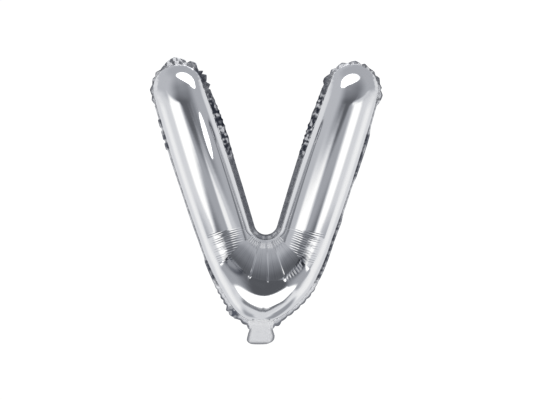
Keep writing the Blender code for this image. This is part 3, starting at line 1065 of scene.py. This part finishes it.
@dataclass(frozen=True)
class Card:
    """A soft-edged patch of the room, in degrees round and above the letter's front.

    Azimuth 0 looks from the letter to the camera and 90 to its right. Slant and bow tilt and bend
    the lower and the upper edge with azimuth, and the side slant tilts the other two.
    """

    name: str
    azimuth: tuple[float, float]
    elevation: tuple[float, float]
    brightness: float
    soft: tuple[float, float, float] = (8.0, 6.0, 6.0)
    slant: tuple[float, float] = (0.0, 0.0)
    bow: tuple[float, float] = (0.0, 0.0)
    side_slant: tuple[float, float] = (0.0, 0.0)

    def edge(self, tree: Tree, along: Socket, across: Socket, at: float, soft: float,
             slant: float = 0.0, bow: float = 0.0) -> Socket:
        """One soft edge, 1 inside, that the other angle shifts; soft is below 0 at an upper end."""
        if slant or bow:
            shift = calculate(tree, "MULTIPLY_ADD", across, -bow, -slant)
            along = calculate(tree, "MULTIPLY_ADD", across, shift, along)
        return map_range(tree, along, (at - soft / 2, at + soft / 2), kind="SMOOTHSTEP")

    def paint(self, tree: Tree, azimuth: Socket, elevation: Socket, under: Socket | float) -> Socket:
        """Lays the patch over what the room has so far.

        Args:
            tree: the room's node tree.
            azimuth: direction round the letter.
            elevation: direction above the letter.
            under: brightness so far.

        Returns:
            Brightness with the patch in it.
        """
        side, low, high = self.soft
        edges = [
            self.edge(tree, azimuth, elevation, self.azimuth[0], side, self.side_slant[0]),
            self.edge(tree, azimuth, elevation, self.azimuth[1], -side, self.side_slant[1]),
            self.edge(tree, elevation, azimuth, self.elevation[0], low, self.slant[0], self.bow[0]),
            self.edge(tree, elevation, azimuth, self.elevation[1], -high, self.slant[1], self.bow[1]),
        ]
        inside = edges[0]
        for edge in edges[1:]:
            inside = calculate(tree, "MULTIPLY", inside, edge)
        mix = add_node(tree, "ShaderNodeMix", {"Factor": inside, "A": under, "B": self.brightness})
        return mix.outputs["Result"]


@dataclass(frozen=True)
class Softbox:
    """One soft lamp of the studio, a lit oval that only reflections and light show."""

    name: str
    place: tuple[float, float, float]
    facing: tuple[float, float, float]
    across: tuple[float, float, float]
    width: float
    height: float
    brightness: float
    spread: float
    mirrored: bool = True

    def build(self) -> None:
        """Makes the lamp, turned to where it faces."""
        lamp = bpy.data.lights.new(self.name, "AREA")
        lamp.shape = "ELLIPSE"
        lamp.size = self.width
        lamp.size_y = self.height
        face = math.pi / 4 * self.width * self.height
        lamp.energy = math.pi * face * self.brightness
        body = bpy.data.objects.new(self.name, lamp)
        bpy.context.scene.collection.objects.link(body)
        body.location = self.place
        lamp.spread = math.radians(self.spread)
        back = -Vector(self.facing).normalized()
        right = (Vector(self.across) - back * back.dot(Vector(self.across))).normalized()
        turned = Matrix((right, back.cross(right), back)).transposed()
        body.rotation_euler = turned.to_euler()
        body.visible_camera = False
        body.visible_glossy = self.mirrored


@dataclass(frozen=True)
class Studio:
    """White studio: pale floor, soft boxes and cards round the letter, long lens in front."""

    centre: tuple[float, float, float] = (0.0077, 0.0, 0.166)
    camera_distance: float = 2.6
    frame_width: float = 0.686
    floor_z: float = -0.62
    floor_size: float = 3.4
    side_brightness: float = 0.70
    backdrop: float = 1.05
    dark_tint: tuple[float, float, float] = (1.0, 1.055, 1.20)
    cards: tuple[Card, ...] = (
        Card("strip_left", (-120, -90), (-75, -6), 0.92, (24, 20, 16)),
        Card("strip_right", (90, 124), (-75, -6), 0.92, (24, 20, 16)),
        Card("upper_left", (-400, 0), (6, 200), 0.50, (60, 18, 18)),
        Card("upper_right", (0, 400), (6, 200), 0.42, (60, 18, 18)),
        Card("inner_left", (-400, -104), (4, 26), 0.74, (12, 10, 12)),
        Card("inner_right", (111, 400), (4, 26), 0.74, (12, 10, 12)),
        Card("ceiling", (-400, 400), (58, 200), 0.41, (10, 24, 24)),
        Card("camera_side", (-34, 50), (-31, 52), 0.184, (44, 4, 60)),
        Card("camera_mid", (-28, 30), (4, 22), 0.115, (40, 6, 18)),
        Card("right_mid", (23, 80), (5, 12), 0.62, (14, 4, 4)),
        Card("camera_low", (-32, 32), (-33, -12), 0.090, (44, 4, 16)),
        Card("horizon", (-30, 30), (-8, 4), 0.38, (26, 10, 5), bow=(0, 0.012)),
        Card("left_low", (-86, -20), (-34, -20), 0.37, (12, 6, 4)),
        Card("right_low", (20, 89), (-40, -20), 0.38, (5, 6, 4)),
        Card("crescent", (-33, 40), (-48, -19.5), 0.095, (40, 4, 3)),
        Card("box_left_low", (-57, -12), (-16.5, 0), 1.15, (14, 2.5, 4), side_slant=(0, 1.5)),
        Card("box_left", (-57, -14), (-2, 6.5), 1.15, (14, 4, 10), (0, -0.15)),
        Card("box_right", (24, 60), (-18.5, 5), 1.15, (14, 3, 7), side_slant=(-0.4, 0)),
        Card("box_right_near", (18, 38), (2, 8), 0.95, (10, 4, 4)),
        Card("floor_shadow_left", (-74, 6), (-76.0, -40), 0.19, (12, 3, 10), (0.066, 0), (0.0066, 0)),
        Card("floor_shadow_right", (-6, 83), (-75.3, -44), 0.17, (8, 3, 6), (-0.2, 0), (0.0052, 0)),
        Card("floor_box_left", (-79, 8), (-70.3, -34), 1.5, (8, 3, 4.5),
             (0.066, -0.154), (0.0066, -0.0022)),
        Card("floor_box_right", (-8, 75), (-70.3, -34), 1.5, (8, 3, 4.5),
             (-0.2, 0.140), (0.0052, -0.0020)),
        Card("patch_left", (-135, -84), (-74, -50), 0.36, (30, 12, 14)),
        Card("patch_right", (98, 160), (-72, -45), 0.33, (16, 12, 8)),
    )
    lamps: tuple[Softbox, ...] = (
        Softbox("lamp_left_cap", (-0.082, -0.042, 0.382), (-0.545, 0.75, -0.376), (0.43, 0.63, 0.65),
                0.050, 0.120, 1.3, 140.0),
        Softbox("lamp_right_cap", (0.125, -0.056, 0.380), (0.506, 0.72, -0.476), (0.79, -0.16, 0.60),
                0.127, 0.044, 1.2, 138.0),
        Softbox("lamp_left_arm", (0.0067, -0.0863, 0.2792), (-0.77, 0.57, -0.29), (0.637, 0.724, -0.27),
                0.041, 0.074, 0.17, 64.0),
        Softbox("front_fill", (0.0, -1.5, -0.20), (0.0, 1.0, 0.12), (1.0, 0.0, 0.0),
                1.6, 1.6, 1.2, 180.0, False),
    )

    def floor(self) -> None:
        """Lays the pale floor, wide, round and below the photograph's view."""
        deselect_all()
        bpy.ops.mesh.primitive_circle_add(
            vertices=96, radius=self.floor_size / 2, fill_type="NGON", location=(0.0, 0.0, self.floor_z)
        )
        bpy.ops.object.transform_apply(location=True, rotation=True, scale=True)
        floor = bpy.context.object
        floor.name = "pale_floor"
        floor.visible_glossy = False
        paint = bpy.data.materials.new("pale_floor_paint")
        paint.use_nodes = True
        shader = paint.node_tree.nodes["Principled BSDF"]
        shader.inputs["Base Color"].default_value = (0.86, 0.86, 0.87, 1.0)
        shader.inputs["Roughness"].default_value = 0.7
        floor.data.materials.append(paint)

    def walls(self) -> None:
        """Lights the room: white to the eye, and in reflections its boxes and cards."""
        world = bpy.data.worlds.new("white_room")
        bpy.context.scene.world = world
        world.use_nodes = True
        tree = world.node_tree
        tree.nodes.clear()
        place = tree.nodes.new("ShaderNodeTexCoord").outputs["Generated"]
        x, y, z = add_node(tree, "ShaderNodeSeparateXYZ", {"Vector": place}).outputs
        round_way = calculate(tree, "ARCTAN2", x, calculate(tree, "MULTIPLY", y, -1.0))
        azimuth = calculate(tree, "MULTIPLY", round_way, math.degrees(1.0))
        up_way = calculate(tree, "ARCSINE", z)
        elevation = calculate(tree, "MULTIPLY", up_way, math.degrees(1.0))
        brightness = self.side_brightness
        for card in self.cards:
            brightness = card.paint(tree, azimuth, elevation, brightness)
        # Bluish where it is dark and neutral where it is light.
        cool = mix_colours(tree, brightness, self.dark_tint, (1.0, 1.0, 1.0), clamped=True)
        room = add_node(tree, "ShaderNodeBackground", {"Color": cool, "Strength": brightness})
        white = add_node(tree, "ShaderNodeBackground", {"Strength": self.backdrop})
        white.inputs["Color"].default_value = (1.0, 1.0, 1.0, 1.0)
        seen = tree.nodes.new("ShaderNodeLightPath").outputs["Is Camera Ray"]
        looks = {0: seen, 1: room.outputs["Background"], 2: white.outputs["Background"]}
        mix = add_node(tree, "ShaderNodeMixShader", looks)
        add_node(tree, "ShaderNodeOutputWorld", {"Surface": mix.outputs["Shader"]})

    def camera(self) -> None:
        """Sets the camera square to the letter's front, with a long lens."""
        eye = bpy.data.cameras.new("front_camera")
        eye.lens = eye.sensor_width * self.camera_distance / self.frame_width
        eye.clip_end = 100.0
        body = bpy.data.objects.new("front_camera", eye)
        bpy.context.scene.collection.objects.link(body)
        x, y, z = self.centre
        body.location = (x, y - self.camera_distance, z)
        body.rotation_euler = (math.pi / 2, 0.0, 0.0)
        bpy.context.scene.camera = body

    def build(self) -> None:
        """Sets up floor, room, lamps and camera."""
        self.floor()
        self.walls()
        for lamp in self.lamps:
            lamp.build()
        self.camera()
        bpy.context.scene.view_settings.view_transform = "Standard"


def main() -> None:
    """Loads the frame, builds the balloon's pieces over it and sets up the studio."""
    logging.basicConfig(level=logging.INFO, format="%(name)s: %(message)s")
    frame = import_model()
    LOG.info("the frame holds %s", ", ".join(frame["nodes"]))
    shape = LetterShape()
    # The three films carry painted shade; the tight and the welded ones also carry painted highlights
    # that turn whitish above 1.
    tight = FilmFinish(name="tight_silver_film", shaded=True, painted_highlight_whiteness=1.0)
    crumpled = FilmFinish(
        name="welded_silver_film", colour=(0.68, 0.685, 0.70), roughness=0.28, roughness_spread=0.08,
        crumple_size=0.0024, crumple_height=0.00007, shaded=True, painted_highlight_whiteness=0.55,
    )
    slack = FilmFinish(
        name="slack_silver_film", colour=(0.97, 0.97, 0.97), roughness=0.50, roughness_spread=0.06,
        crumple_size=0.0060, crumple_height=0.00004, shaded=True, metallic=0.22,
    )
    clear = FilmFinish(
        name="valve_clear_film", colour=(0.80, 0.82, 0.84), roughness=0.22, roughness_spread=0.08,
        crumple_size=0.004, metallic=0.0,
    )
    sub_assemblies = [
        FilmPanel(shape=shape, finish=tight, side=Side.FRONT),
        FilmPanel(shape=shape, finish=tight, side=Side.BACK),
        SeamBand(shape=shape, finish=crumpled),
        FillingNeck(finish=slack, valve_finish=clear),
    ]
    for sub_assembly in sub_assemblies:
        for piece in sub_assembly.build():
            LOG.info("%s: %d faces", piece.name, len(piece.data.polygons))
    Studio().build()


if __name__ == "__main__":
    main()
